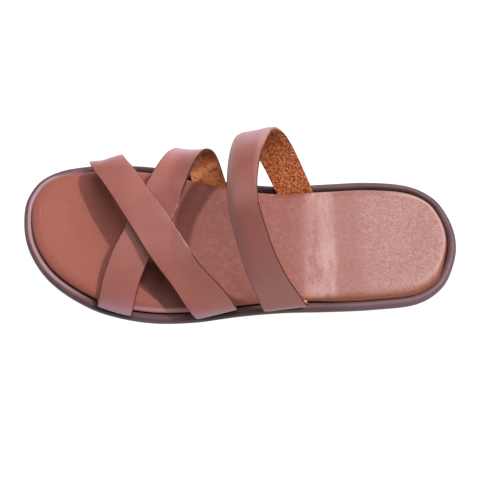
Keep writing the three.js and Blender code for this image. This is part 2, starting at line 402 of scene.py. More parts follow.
def end_cap(steps: int, base: int, up: bool) -> list[tuple[int, ...]]:
    """Flat end of a stack of rings, as strips between the two long sides.

    Args:
        steps: Points in a ring.
        base: Index of the ring's first point.
        up: Whether the end faces up.

    Returns:
        Its faces.
    """
    faces = []
    for i in range(steps // 2):
        strip = ((steps - i) % steps, i, i + 1, steps - i - 1)
        face = tuple(base + k for k in dict.fromkeys(strip))
        faces.append(face if up else face[::-1])
    return faces


def make_object(
    name: str,
    points: Array,
    faces: list[tuple[int, ...]],
    slots: Array | None = None,
    uv: Array | None = None,
) -> bpy.types.Object:
    """Makes a mesh object at the origin from points in the form's own axes.

    Args:
        name: Plain name of the piece.
        points: All points, one a line.
        faces: Point indices of each face.
        slots: Material slot of each face.
        uv: Place of each point on the hide, in metres.

    Returns:
        The linked object, smooth-shaded.
    """
    mesh = bpy.data.meshes.new(name)
    mesh.from_pydata((points + SLIDE).tolist(), [], faces)
    mesh.polygons.foreach_set("use_smooth", np.ones(len(mesh.polygons), bool))
    if slots is not None:
        mesh.polygons.foreach_set("material_index", slots.astype(np.int32))
    if uv is not None:
        layer = mesh.uv_layers.new(name="hide")
        index = np.empty(len(mesh.loops), np.int32)
        mesh.loops.foreach_get("vertex_index", index)
        layer.data.foreach_set("uv", uv[index].astype(np.float32).ravel())
    mesh.update()
    piece = bpy.data.objects.new(name, mesh)
    bpy.context.scene.collection.objects.link(piece)
    return piece


def settle(piece: bpy.types.Object, slot: str, *nodes: str) -> bpy.types.Object:
    """Seats a finished piece on the frame.

    Args:
        piece: The finished piece.
        slot: Not used.
        nodes: Solids that the piece stands for.

    Returns:
        The same piece.
    """
    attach(piece, "root")
    if nodes:
        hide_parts(*nodes)
    log.info("%s: %d faces", piece.name, len(piece.data.polygons))
    return piece


def apply_modifiers(piece: bpy.types.Object) -> None:
    """Turns a piece with modifiers into a plain mesh and removes them.

    Args:
        piece: The piece.
    """
    graph = bpy.context.evaluated_depsgraph_get()
    plain = bpy.data.meshes.new_from_object(piece.evaluated_get(graph), depsgraph=graph)
    piece.modifiers.clear()
    plain.name = piece.name
    piece.data = plain


def soften(piece: bpy.types.Object, degrees: float) -> None:
    """Shades smooth except over sharp edges.

    Args:
        piece: The piece.
        degrees: Angle past which an edge is sharp.
    """
    piece.data.polygons.foreach_set("use_smooth", np.ones(len(piece.data.polygons), bool))
    piece.data.set_sharp_from_angle(angle=math.radians(degrees))
    piece.data.update()


def aim(piece: bpy.types.Object, target: Vector, towards: Vector, distance: float) -> None:
    """Hangs a camera or lamp so that it looks at a point.

    Args:
        piece: The camera or lamp.
        target: Point that it looks at.
        towards: Direction from there to the piece.
        distance: Distance from there.
    """
    piece.location = target + towards * distance
    piece.rotation_mode = "QUATERNION"
    piece.rotation_quaternion = (-towards).to_track_quat("-Z", "Y")
    bpy.context.scene.collection.objects.link(piece)


# ---------------------------------------------------------------- nodes


class Wire:
    """A number socket that takes part in sums: each operator adds a Math node."""

    def __init__(self, bench: "Bench", socket: bpy.types.NodeSocket) -> None:
        """Keeps the socket and the bench that adds nodes."""
        self.bench = bench
        self.socket = socket

    def math(self, operation: str, *values: Any) -> "Wire":
        """Adds a Math node on this value and others."""
        node = self.bench.add("ShaderNodeMath", {"operation": operation}, dict(enumerate((self, *values))))
        return Wire(self.bench, node.outputs[0])

    def __add__(self, other: Any) -> "Wire":
        """Sum."""
        return self.math("ADD", other)

    __radd__ = __add__

    def __sub__(self, other: Any) -> "Wire":
        """Difference."""
        return self.math("SUBTRACT", other)

    def __rsub__(self, other: Any) -> "Wire":
        """Difference from a plain number."""
        return (self * -1) + other

    def __mul__(self, other: Any) -> "Wire":
        """Product."""
        return self.math("MULTIPLY", other)

    __rmul__ = __mul__

    def most(self, other: Any) -> "Wire":
        """Greater of two values."""
        return self.math("MAXIMUM", other)

    def size(self) -> "Wire":
        """Value without its sign."""
        return self.math("ABSOLUTE")

    def eased(self, low: float, high: float) -> "Wire":
        """Eases from 0 at low to 1 at high, or falls where low is the greater."""
        node = self.bench.add(
            "ShaderNodeMapRange",
            {"interpolation_type": "SMOOTHSTEP", "clamp": True},
            {"Value": self, "From Min": min(low, high), "From Max": max(low, high),
             "To Min": 0.0 if low < high else 1.0, "To Max": 1.0 if low < high else 0.0},
        )
        return Wire(self.bench, node.outputs["Result"])

    def over(self, *reaches: Reach) -> "Wire":
        """Share of a zone, from 0 outside to 1 inside.

        Args:
            reaches: The zone's borders: where it starts and where it is full, one pair for each.

        Returns:
            The product of the eased borders.
        """
        share = self.eased(*reaches[0])
        for reach in reaches[1:]:
            share = share * self.eased(*reach)
        return share


class Bench:
    """Node tree of one material, with short ways to add what the finishes need."""

    def __init__(self, name: str) -> None:
        """Starts an empty material."""
        self.material = bpy.data.materials.new(name)
        self.material.use_nodes = True
        self.tree = self.material.node_tree
        self.tree.nodes.clear()
        self.place = self.add("ShaderNodeTexCoord", {}, {}).outputs["Object"]

    def add(self, kind: str, settings: dict[str, Any], sockets: dict[Any, Any]) -> bpy.types.Node:
        """Adds a node.

        Args:
            kind: Node type.
            settings: Properties, set first.
            sockets: Value or link of each input, by name, identifier or number.

        Returns:
            The node.
        """
        node = self.tree.nodes.new(kind)
        for key, value in settings.items():
            setattr(node, key, value)
        for key, value in sockets.items():
            if isinstance(key, int):
                entry = node.inputs[key]
            else:
                entry = next(s for s in node.inputs if key in (s.identifier, s.name))
            source = value.socket if isinstance(value, Wire) else value
            if isinstance(source, bpy.types.NodeSocket):
                self.tree.links.new(source, entry)
            elif entry.type == "RGBA":
                entry.default_value = (*source, 1.0)
            else:
                entry.default_value = source
        return node

    def axes(self, vector: Any = None) -> tuple[Wire, ...]:
        """The three coordinates of a place, in metres, or of another vector."""
        split = self.add("ShaderNodeSeparateXYZ", {}, {0: vector or self.place})
        return tuple(Wire(self, output) for output in split.outputs)

    def facing(self) -> tuple[Wire, ...]:
        """How far the surface faces along each axis, from -1 to 1."""
        return self.axes(self.add("ShaderNodeNewGeometry", {}, {}).outputs["Normal"])

    def hide(self) -> bpy.types.NodeSocket:
        """Place on the hide, from the piece's own UV map."""
        return self.add("ShaderNodeUVMap", {"uv_map": "hide"}, {}).outputs["UV"]

    def stretched(self, scale: tuple[float, float, float]) -> bpy.types.NodeSocket:
        """Place scaled along each axis, for a pattern with a direction."""
        node = self.add("ShaderNodeMapping", {}, {"Vector": self.place, "Scale": scale})
        return node.outputs["Vector"]

    def noise(self, per_metre: float, detail: float, rough: float, vector: Any = None) -> Wire:
        """Soft noise around 0.5.

        Args:
            per_metre: Waves to the metre.
            detail: Finer layers.
            rough: Strength of the finer layers.
            vector: Place to read, the object's own if none is given.

        Returns:
            The noise.
        """
        node = self.add(
            "ShaderNodeTexNoise",
            {"noise_dimensions": "3D"},
            {"Vector": vector or self.place, "Scale": per_metre, "Detail": detail, "Roughness": rough},
        )
        return Wire(self, node.outputs[0])

    def cells(self, per_metre: float, feature: str, vector: Any = None) -> Wire:
        """Distance within cells.

        Args:
            per_metre: Cells to the metre.
            feature: Kind of distance.
            vector: Place to read, the object's own if none is given.

        Returns:
            The distance.
        """
        sockets = {"Vector": vector or self.place, "Scale": per_metre}
        return Wire(self, self.add("ShaderNodeTexVoronoi", {"feature": feature}, sockets).outputs["Distance"])

    def mix(self, share: Any, first: Any, second: Any) -> bpy.types.NodeSocket:
        """Colour between two.

        Args:
            share: Share of the second.
            first: Colour at 0.
            second: Colour at 1.

        Returns:
            The colour's socket.
        """
        node = self.add(
            "ShaderNodeMix",
            {"data_type": "RGBA", "blend_type": "MIX", "clamp_factor": True},
            {"Factor_Float": share, "A_Color": first, "B_Color": second},
        )
        return next(s for s in node.outputs if s.identifier == "Result_Color")

    def coats(self, tint: Any, *coats: tuple[Any, Any]) -> bpy.types.NodeSocket:
        """Lays coats of colour over a tint, one after the other.

        Args:
            tint: Colour below.
            coats: Share and colour of each coat.

        Returns:
            The colour's socket.
        """
        for share, colour in coats:
            tint = self.mix(share, tint, colour)
        return tint

    def bump(self, height: Wire, depth: float, strength: float, below: Any = None) -> bpy.types.NodeSocket:
        """Normal from a height.

        Args:
            height: Height between 0 and 1.
            depth: Metres that the height stands for.
            strength: Share of the effect.
            below: Normal to add it to.

        Returns:
            The normal's socket.
        """
        sockets = {"Height": height, "Distance": depth, "Strength": strength}
        if below is not None:
            sockets["Normal"] = below
        return self.add("ShaderNodeBump", {}, sockets).outputs["Normal"]

    def finish(self, **sockets: Any) -> bpy.types.Material:
        """Closes the material with its shader.

        Args:
            sockets: Values or links of the shader's inputs, with _ for a space.

        Returns:
            The material.
        """
        named = {key.replace("_", " "): value for key, value in sockets.items()}
        shader = self.add("ShaderNodeBsdfPrincipled", {}, named)
        output = self.add("ShaderNodeOutputMaterial", {}, {})
        self.tree.links.new(shader.outputs[0], output.inputs["Surface"])
        return self.material


# ---------------------------------------------------------------- finishes


@dataclass(frozen=True)
class GrainLeather:
    """Smooth full-grain strap leather with a satin dressing, with a painted sheen low on the outer strap legs
    and where the hide faces the inner side.
    """

    colour: Colour = (0.37, 0.12, 0.095)
    deep: Colour = (0.31, 0.095, 0.074)
    pale: Colour = (0.43, 0.165, 0.14)
    painted_sheen: Colour = (0.58, 0.31, 0.42)
    roughness: float = 0.43
    coat: float = 0.3
    coat_roughness: float = 0.38
    cloud_per_metre: float = 30.0
    blotch_per_metre: float = 150.0
    fleck_per_metre: float = 1400.0
    grain_per_metre: float = 2300.0
    grain_depth: float = 0.05 * MM
    wrinkle_per_metre: float = 380.0
    wrinkle_depth: float = 0.12 * MM
    foot_sheen_facing: Reach = (0.3, 0.85)
    foot_sheen_height: Reach = (30 * MM, 20 * MM)
    inner_sheen_facing: Reach = (-0.25, -0.8)

    def build(self, name: str) -> bpy.types.Material:
        """Makes the material.

        Args:
            name: Name of the material.

        Returns:
            The material.
        """
        bench = Bench(name)
        hide = bench.hide()
        _, _, z = bench.axes()
        _, outwards, _ = bench.facing()
        cloud = bench.noise(self.cloud_per_metre, 2, 0.45)
        blotch = bench.noise(self.blotch_per_metre, 2, 0.5)
        fleck = bench.noise(self.fleck_per_metre, 2, 0.5, hide)
        foot_sheen = outwards.over(self.foot_sheen_facing) * z.over(self.foot_sheen_height)
        bend = outwards.over(self.inner_sheen_facing)
        tint = bench.coats(
            bench.mix(cloud.eased(0.3, 0.6), self.deep, self.colour),
            (blotch.eased(0.5, 0.8) * 0.2, self.pale),
            (fleck.eased(0.4, 0.7) * 0.3, self.pale),
            # painted sheen: pale lilac low on the outer legs where they face outwards, and wherever the hide
            # faces the inner side
            (foot_sheen * 0.95 + bend * 0.45, self.painted_sheen),
        )
        pores = bench.cells(self.grain_per_metre, "F1", hide)
        wrinkle = bench.noise(self.wrinkle_per_metre, 4, 0.6, hide)
        normal = bench.bump(pores, self.grain_depth, 0.6)
        return bench.finish(
            Base_Color=tint,
            Roughness=self.roughness + (cloud - 0.5) * 0.06 + (fleck - 0.5) * 0.2,
            Normal=bench.bump(wrinkle, self.wrinkle_depth, 0.35, normal),
            Coat_Weight=self.coat,
            Coat_Roughness=self.coat_roughness,
        )


@dataclass(frozen=True)
class CutEdge:
    """Cut edge of the leather: painted shade makes it dark brown, and a painted highlight makes it pale at the
    crossing and over the inner-side top of the instep band.
    """

    colour: Colour = (0.5, 0.26, 0.21)
    deep: Colour = (0.28, 0.1, 0.075)
    shaded_edge: Colour = (0.11, 0.036, 0.024)
    roughness: float = 0.7
    gloss: float = 0.2
    streak_per_metre: float = 500.0
    streak_depth: float = 0.12 * MM
    crossing_along: Reach = (5 * MM, 18 * MM)
    crossing_wide: tuple[Reach, ...] = ((25 * MM, 17 * MM), (-18 * MM, -10 * MM))
    top_height: Reach = (58 * MM, 66 * MM)
    top_wide: Reach = (-26 * MM, -36 * MM)

    def build(self, name: str) -> bpy.types.Material:
        """Makes the material.

        Args:
            name: Name of the material.

        Returns:
            The material.
        """
        bench = Bench(name)
        x, y, z = bench.axes()
        streak = bench.noise(self.streak_per_metre, 3, 0.6)
        highlight_tone = bench.mix(streak.eased(0.35, 0.6), self.deep, self.colour)
        crossing_highlight = x.over(self.crossing_along) * y.over(*self.crossing_wide)
        top = z.over(self.top_height) * y.over(self.top_wide)
        return bench.finish(
            # painted shade gives the dark edge; a painted highlight gives the lit tone at the crossing and the
            # instep band's inner-side top
            Base_Color=bench.mix(crossing_highlight.most(top), self.shaded_edge, highlight_tone),
            Roughness=self.roughness,
            Normal=bench.bump(streak, self.streak_depth, 0.6),
            Specular_IOR_Level=self.gloss,
        )


@dataclass(frozen=True)
class FleshSide:
    """Raw orange-brown flesh side: matted under the instep band, brushed under the cross straps."""

    colour: Colour = (0.78, 0.19, 0.05)
    deep: Colour = (0.22, 0.045, 0.015)
    pale: Colour = (1.0, 0.5, 0.26)
    brushed: Colour = (1.0, 0.4, 0.17)
    raw_end: Colour = (0.7, 0.5, 0.38)
    roughness: float = 0.85
    warp_per_metre: float = 420.0
    clump_per_metre: float = 620.0
    thread_per_metre: float = 1100.0
    fibre_depth: float = 0.6 * MM
    brushed_along: Reach = (7 * MM, 18 * MM)
    cross_strap_top: Reach = (28 * MM, 34 * MM)
    instep_top: Reach = (68 * MM, 80 * MM)
    end_height: Reach = (24 * MM, 22 * MM)
    end_wide: Reach = (0.0, 5 * MM)

    def build(self, name: str) -> bpy.types.Material:
        """Makes the material.

        Args:
            name: Name of the material.

        Returns:
            The material.
        """
        bench = Bench(name)
        x, y, z = bench.axes()
        warp = bench.noise(self.warp_per_metre, 3, 0.6)
        clump = bench.cells(self.clump_per_metre, "SMOOTH_F1")
        thread = bench.noise(self.thread_per_metre, 4, 0.65, bench.stretched((1.0, 1.6, 0.8)))
        height = (thread * 0.7 + (0.7 - clump) * 0.5).most(0.0)
        brushed = x.over(self.brushed_along)
        shade = brushed * z.over(self.cross_strap_top) + z.over(self.instep_top)
        tint = bench.coats(
            bench.mix(height.eased(0.3, 0.62), self.deep, self.colour),
            ((height + (warp - 0.5) * 0.5).eased(0.6, 0.76) * 0.9, self.pale),
            (brushed * warp.eased(0.3, 0.5) * 0.95, self.brushed),
            # painted shade: darker flesh under the tops of the cross straps and of the instep band
            (shade * 0.7, self.deep),
            (z.over(self.end_height) * y.over(self.end_wide), self.raw_end),
        )
        normal = bench.bump(height, self.fibre_depth, 1.0)
        return bench.finish(Base_Color=tint, Roughness=self.roughness, Normal=normal)


@dataclass(frozen=True)
class Fibre:
    """Loose fibres of the flesh side."""

    colour: Colour = (1.0, 0.35, 0.11)
    deep: Colour = (0.3, 0.07, 0.02)
    pale: Colour = (1.0, 0.66, 0.4)
    roughness: float = 0.7
    lot_per_metre: float = 700.0

    def build(self, name: str) -> bpy.types.Material:
        """Makes the material.

        Args:
            name: Name of the material.

        Returns:
            The material.
        """
        bench = Bench(name)
        lot = bench.noise(self.lot_per_metre, 2, 0.7)
        tint = bench.mix(lot.eased(0.34, 0.5), self.deep, self.colour)
        tint = bench.mix(lot.eased(0.5, 0.62), tint, self.pale)
        return bench.finish(Base_Color=tint, Roughness=self.roughness)


@dataclass(frozen=True)
class InsoleLeather:
    """Pebbled leather of the footbed: redder under the toes, paler with wear under the heel, with a painted
    shadow between the cross straps' outer ends and painted shade and highlights on the rolled edge.
    """

    toe: Colour = (0.335, 0.084, 0.055)
    middle: Colour = (0.305, 0.088, 0.063)
    heel: Colour = (0.31, 0.105, 0.082)
    pale_tone_and_glint: Colour = (0.62, 0.36, 0.33)
    wall: Colour = (0.27, 0.07, 0.026)
    lip: Colour = (0.6, 0.26, 0.27)
    painted_shadow: Colour = (0.1, 0.024, 0.014)
    roughness: float = 0.56
    pebble_per_metre: float = 1000.0
    pebble_depth: float = 0.14 * MM
    fine_per_metre: float = 2100.0
    fine_depth: float = 0.08 * MM
    cloud_per_metre: float = 38.0
    cloud_drift: float = 30 * MM
    patch_per_metre: float = 60.0
    mottle_per_metre: float = 260.0
    toe_along: Reach = (20 * MM, 90 * MM)
    heel_along: Reach = (-30 * MM, -62 * MM)
    worn_along: Reach = (-32 * MM, -58 * MM)
    mottle_along: Reach = (40 * MM, 15 * MM)
    dip_at: float = -71 * MM
    dip_reach: Reach = (13 * MM, 3 * MM)
    band_at: float = -52 * MM
    band_reach: tuple[Reach, ...] = ((13 * MM, 4 * MM), (-12 * MM, -8 * MM))
    band_middle: float = -5 * MM
    band_sides: Reach = (5 * MM, 22 * MM)
    painted_shadow_slant: tuple[float, float] = (0.752, 0.657)
    painted_shadow_across: tuple[Reach, ...] = ((67.5 * MM, 65 * MM), (34 * MM, 40 * MM))
    painted_shadow_wide: Reach = (13 * MM, 20 * MM)
    painted_shadow_deepest: Reach = (36 * MM, 22 * MM)
    edge_facing: Reach = (0.985, 0.8)
    outer_facing: Reach = (-0.1, 0.15)
    shaded_wall_along: Reach = (-25 * MM, -45 * MM)
    glint_facing: tuple[Reach, ...] = ((0.998, 0.98), (0.78, 0.92))
    glint_outwards: Reach = (0.25, 0.0)
    glint_along: Reach = (-90 * MM, -118 * MM)
    lip_highlight_facing: Reach = (0.97, 0.85)
    lip_highlight_along: tuple[Reach, ...] = ((16 * MM, 26 * MM), (74 * MM, 66 * MM))

    def edge_coats(self, bench: Bench) -> list[tuple[Any, Any]]:
        """Coats of the rolled edge: painted shade on the wall, a painted glint at the heel tip and a painted
        highlight on the outer lip.

        Args:
            bench: Bench of the material.

        Returns:
            Share and colour of each coat.
        """
        x, _, _ = bench.axes()
        _, outwards, up = bench.facing()
        near = outwards.over(self.outer_facing)
        # painted shade: the rolled edge a little darker all round, and darker and browner on the outer side of
        # the heel half
        wall = up.over(self.edge_facing) * (0.12 + near * x.over(self.shaded_wall_along) * 0.83)
        # painted glint: a pale line along the top of the rolled edge round the heel tip
        glint = up.over(*self.glint_facing) * x.over(self.glint_along) * outwards.over(self.glint_outwards)
        # painted highlight: pale pink on the outer lip between the cross straps' outer ends
        lip = near * up.over(self.lip_highlight_facing) * x.over(*self.lip_highlight_along)
        return [(wall, self.wall), (glint * 0.75, self.pale_tone_and_glint), (lip * 0.85, self.lip)]

    def build(self, name: str) -> bpy.types.Material:
        """Makes the material.

        Args:
            name: Name of the material.

        Returns:
            The material.
        """
        bench = Bench(name)
        x, y, _ = bench.axes()
        pebble = bench.cells(self.pebble_per_metre, "SMOOTH_F1")
        fine = bench.noise(self.fine_per_metre, 3, 0.6)
        speck = (fine + (0.5 - pebble) * 0.5).eased(0.38, 0.75)
        drift = (bench.noise(self.cloud_per_metre, 3, 0.55) - 0.5) * self.cloud_drift
        drifting, bent = x + drift, x + drift * 0.2
        heel = x.over(self.worn_along)
        mottle = bench.noise(self.mottle_per_metre, 4, 0.7).eased(0.42, 0.72) * x.over(self.mottle_along)
        dip = (bent - self.dip_at).size().over(self.dip_reach)
        band = (bent - self.band_at).over(*self.band_reach)
        sides = (y - self.band_middle).size().over(self.band_sides)
        patch = bench.noise(self.patch_per_metre, 3, 0.6, bench.stretched((2.2, 0.8, 1.0))).eased(0.36, 0.62)
        across = x * self.painted_shadow_slant[0] + y * self.painted_shadow_slant[1]
        painted_shadow = across.over(*self.painted_shadow_across) * y.over(self.painted_shadow_wide)
        tint = bench.coats(
            bench.mix(drifting.over(self.toe_along), self.middle, self.toe),
            (drifting.over(self.heel_along), self.heel),
            (speck * (0.08 + heel * 0.38), self.pale_tone_and_glint),
            (mottle * (0.16 + heel * 0.06), self.pale_tone_and_glint),
            (dip * 0.5, self.middle),
            (band * (0.08 + patch * (0.4 + sides * 0.6) * 0.55), self.pale_tone_and_glint),
            # painted shadow of the upper cross strap on the footbed between the cross straps' outer ends,
            # deepest further in
            (painted_shadow * (0.66 + y.over(self.painted_shadow_deepest) * 0.2), self.painted_shadow),
            *self.edge_coats(bench),
        )
        normal = bench.bump(1 - pebble, self.pebble_depth, 0.55)
        return bench.finish(
            Base_Color=tint,
            Roughness=self.roughness - heel * 0.06 - band * 0.06 + (fine - 0.5) * 0.2,
            Normal=bench.bump(fine, self.fine_depth, 0.4, normal),
        )


@dataclass(frozen=True)
class MouldedRubber:
    """Dark brown moulded sole with a satin skin."""

    colour: Colour = (0.12, 0.055, 0.064)
    pale: Colour = (0.19, 0.1, 0.11)
    shaded: Colour = (0.045, 0.02, 0.016)
    highlight_tone: Colour = (0.42, 0.24, 0.26)
    trodden: Colour = (0.05, 0.034, 0.034)
    roughness: float = 0.48
    gloss: float = 0.35
    cloud_per_metre: float = 60.0
    cloud_depth: float = 0.8 * MM
    fine_per_metre: float = 1600.0
    fine_depth: float = 0.06 * MM
    slope_wide: Reach = (-8 * MM, -24 * MM)
    slope_facing: Reach = (-0.02, 0.25)
    waist_along: tuple[Reach, ...] = ((-8 * MM, 6 * MM), (90 * MM, 72 * MM))
    waist_wide: Reach = (-30 * MM, -42 * MM)
    waist_facing: Reach = (-0.75, -0.3)
    lower_end_along: tuple[Reach, ...] = ((94 * MM, 88 * MM), (64 * MM, 70 * MM))
    upper_end_along: tuple[Reach, ...] = ((24 * MM, 19 * MM), (-4 * MM, 2 * MM))
    end_wide: Reach = (20 * MM, 30 * MM)
    toe_along: Reach = (88 * MM, 112 * MM)
    toe_highlight_facing: Reach = (0.0, -0.25)
    heel_along: Reach = (-50 * MM, -80 * MM)
    outer_heel_highlight_wide: Reach = (10 * MM, 24 * MM)
    ground_height: Reach = (4 * MM, 0.5 * MM)

    def build(self, name: str) -> bpy.types.Material:
        """Makes the material.

        Args:
            name: Name of the material.

        Returns:
            The material.
        """
        bench = Bench(name)
        x, y, z = bench.axes()
        forwards, outwards, _ = bench.facing()
        cloud = bench.noise(self.cloud_per_metre, 3, 0.5)
        fine = bench.noise(self.fine_per_metre, 3, 0.6)
        slope = y.over(self.slope_wide) * outwards.over(self.slope_facing)
        waist = x.over(*self.waist_along) * y.over(self.waist_wide) * outwards.over(self.waist_facing)
        strap_end_shadow = (x.over(*self.lower_end_along) + x.over(*self.upper_end_along)) * y.over(self.end_wide)
        ground = z.over(self.ground_height)
        tint = bench.coats(
            self.colour,
            (cloud.eased(0.35, 0.7) * 0.5, self.pale),
            # painted shade on the inner-side rim: its inner slope and, at the waist, its outer face
            (slope * 0.9, self.shaded),
            (waist * 0.65, self.shaded),
            # painted shadow on the rim below the cross straps' outer ends
            (strap_end_shadow * 0.9, self.shaded),
            # painted highlight: pale on the toe rim where it faces the heel
            (x.over(self.toe_along) * forwards.over(self.toe_highlight_facing) * 0.95, self.highlight_tone),
            # painted highlight: paler rim on the outer side towards the heel
            (y.over(self.outer_heel_highlight_wide) * x.over(self.heel_along) * 0.6, self.pale),
            (ground * 0.5, self.trodden),
        )
        normal = bench.bump(fine, self.fine_depth, 0.5)
        return bench.finish(
            Base_Color=tint,
            Roughness=self.roughness + (cloud - 0.5) * 0.2 + ground * 0.2,
            Normal=bench.bump(cloud, self.cloud_depth, 0.3, normal),
            Specular_IOR_Level=self.gloss,
        )


# ---------------------------------------------------------------- pieces


@dataclass
class Sole:
    """Moulded sole with rounded rim, recess, parting groove and grooved tread."""

    rim_crest_inset: float = 3.1 * MM
    rim_fall: float = 4.2 * MM
    rim_inner_fall: float = 2.1 * MM
    rim_undercut: float = 3.6 * MM
    tread_thickness: float = 3.8 * MM
    tread_inset: float = 5.2 * MM
    tread_bevel: float = 1.4 * MM
    parting_depth: float = 0.7 * MM
    parting_width: float = 0.8 * MM
    groove_width: float = 2.6 * MM
    groove_depth: float = 1.4 * MM
    groove_pitch: float = 9 * MM
    groove_runs: tuple[tuple[float, int], ...] = ((0.55, 9), (0.085, 6))
    wave: float = 0.16 * MM
    steps: int = 360
    bead_steps: int = 12
    inner_steps: int = 6
    sharp_degrees: float = 38.0
    finish: MouldedRubber = field(default_factory=MouldedRubber)

    def ring(self, angle: Array, inset: float, base: Any, height: float) -> Array:
        """One closed ring of points at an inset and a height over a base line."""
        flat = FORM.outline(angle, inset)
        return np.column_stack([flat, base(flat[:, 0]) + height])

    def rings(self) -> Array:
        """All rings from the tread up over the rim into the recess.

        Returns:
            Points by ring, place round it and axis.
        """
        low, top = FORM.sole_bottom, FORM.rim_top
        wall, groove = self.tread_inset, self.tread_inset - self.parting_depth
        parting, lip = self.tread_thickness, self.parting_width / 4
        parting_top = parting + self.parting_width
        under, fall, inner_fall = self.rim_undercut, self.rim_fall, self.rim_inner_fall
        lines = [
            (wall + self.tread_bevel, low, 0, 0),
            (wall + 0.3 * self.tread_bevel, low, 0.3 * self.tread_bevel, 0),
            (wall, low, self.tread_bevel, 0),
            (groove, low, parting, 0),
            (wall, low, parting + lip, 0),
            (wall, low, parting_top, 0),
            (groove, low, parting_top + lip, 0),
            (under, top, -fall - inner_fall, 0),
            (under * 0.55, top, -fall - inner_fall * 0.72, 0),
            (under / 4, top, -fall - inner_fall / 3, 0),
        ]
        for bend in np.linspace(0, np.pi / 2, self.bead_steps + 1):
            inset = self.rim_crest_inset * (1 - np.cos(bend))
            lines.append((inset, top, fall * (np.sin(bend) - 1), np.sin(bend)))
        for bend in np.linspace(0, np.pi / 2, self.inner_steps + 1)[1:]:
            inset = self.rim_crest_inset + (FORM.rim_width - self.rim_crest_inset) * np.sin(bend)
            lines.append((inset, top, inner_fall * (np.cos(bend) - 1), np.cos(bend)))
        lines.append((FORM.rim_width, top, -FORM.recess_depth, 0))
        angle = np.linspace(0, 2 * np.pi, self.steps, endpoint=False)
        stack = np.array([self.ring(angle, inset, base, height) for inset, base, height, _ in lines])
        waver = np.sin(9 * angle + 1.0) + 0.6 * np.sin(23 * angle + 0.4)
        stack[..., 2] += self.wave * np.outer([share for *_, share in lines], waver)
        return stack

    def tread_bars(self) -> bpy.types.Object:
        """Bars that cut the tread's grooves.

        Returns:
            One object with all of them.
        """
        points, faces = [], []
        box = np.array([(x, y, z) for x in (-1, 1) for y in (-1, 1) for z in (-1, 1)], float)
        sides = [(0, 1, 3, 2), (4, 6, 7, 5), (0, 4, 5, 1), (2, 3, 7, 6), (0, 2, 6, 4), (1, 5, 7, 3)]
        half = np.array([self.groove_width / 2, FORM.ball_width, self.groove_depth])
        for start, count in self.groove_runs:
            for i in range(count):
                x = float(FORM.along(start)) + self.groove_pitch * i
                base = len(points) * len(box)
                points.append(box * half + [x, 0, float(FORM.sole_bottom(x))])
                faces += [tuple(base + k for k in side) for side in sides]
        return make_object("tread_bars", np.concatenate(points), faces)

    def build(self) -> bpy.types.Object:
        """Makes the sole.

        Returns:
            The finished piece.
        """
        stack = self.rings()
        count = len(stack)
        faces = [tuple(q) for q in grid_faces(count, self.steps, wrap=True).tolist()]
        faces += end_cap(self.steps, 0, False) + end_cap(self.steps, (count - 1) * self.steps, True)
        piece = make_object("moulded_sole", stack.reshape(-1, 3), faces)
        bars = self.tread_bars()
        cut = piece.modifiers.new("grooves", "BOOLEAN")
        cut.operation, cut.solver, cut.object = "DIFFERENCE", "EXACT", bars
        apply_modifiers(piece)
        bpy.data.objects.remove(bars)
        soften(piece, self.sharp_degrees)
        piece.data.materials.clear()
        piece.data.materials.append(self.finish.build("sole_rubber"))
        return settle(piece, "sole_rubber", "sole")


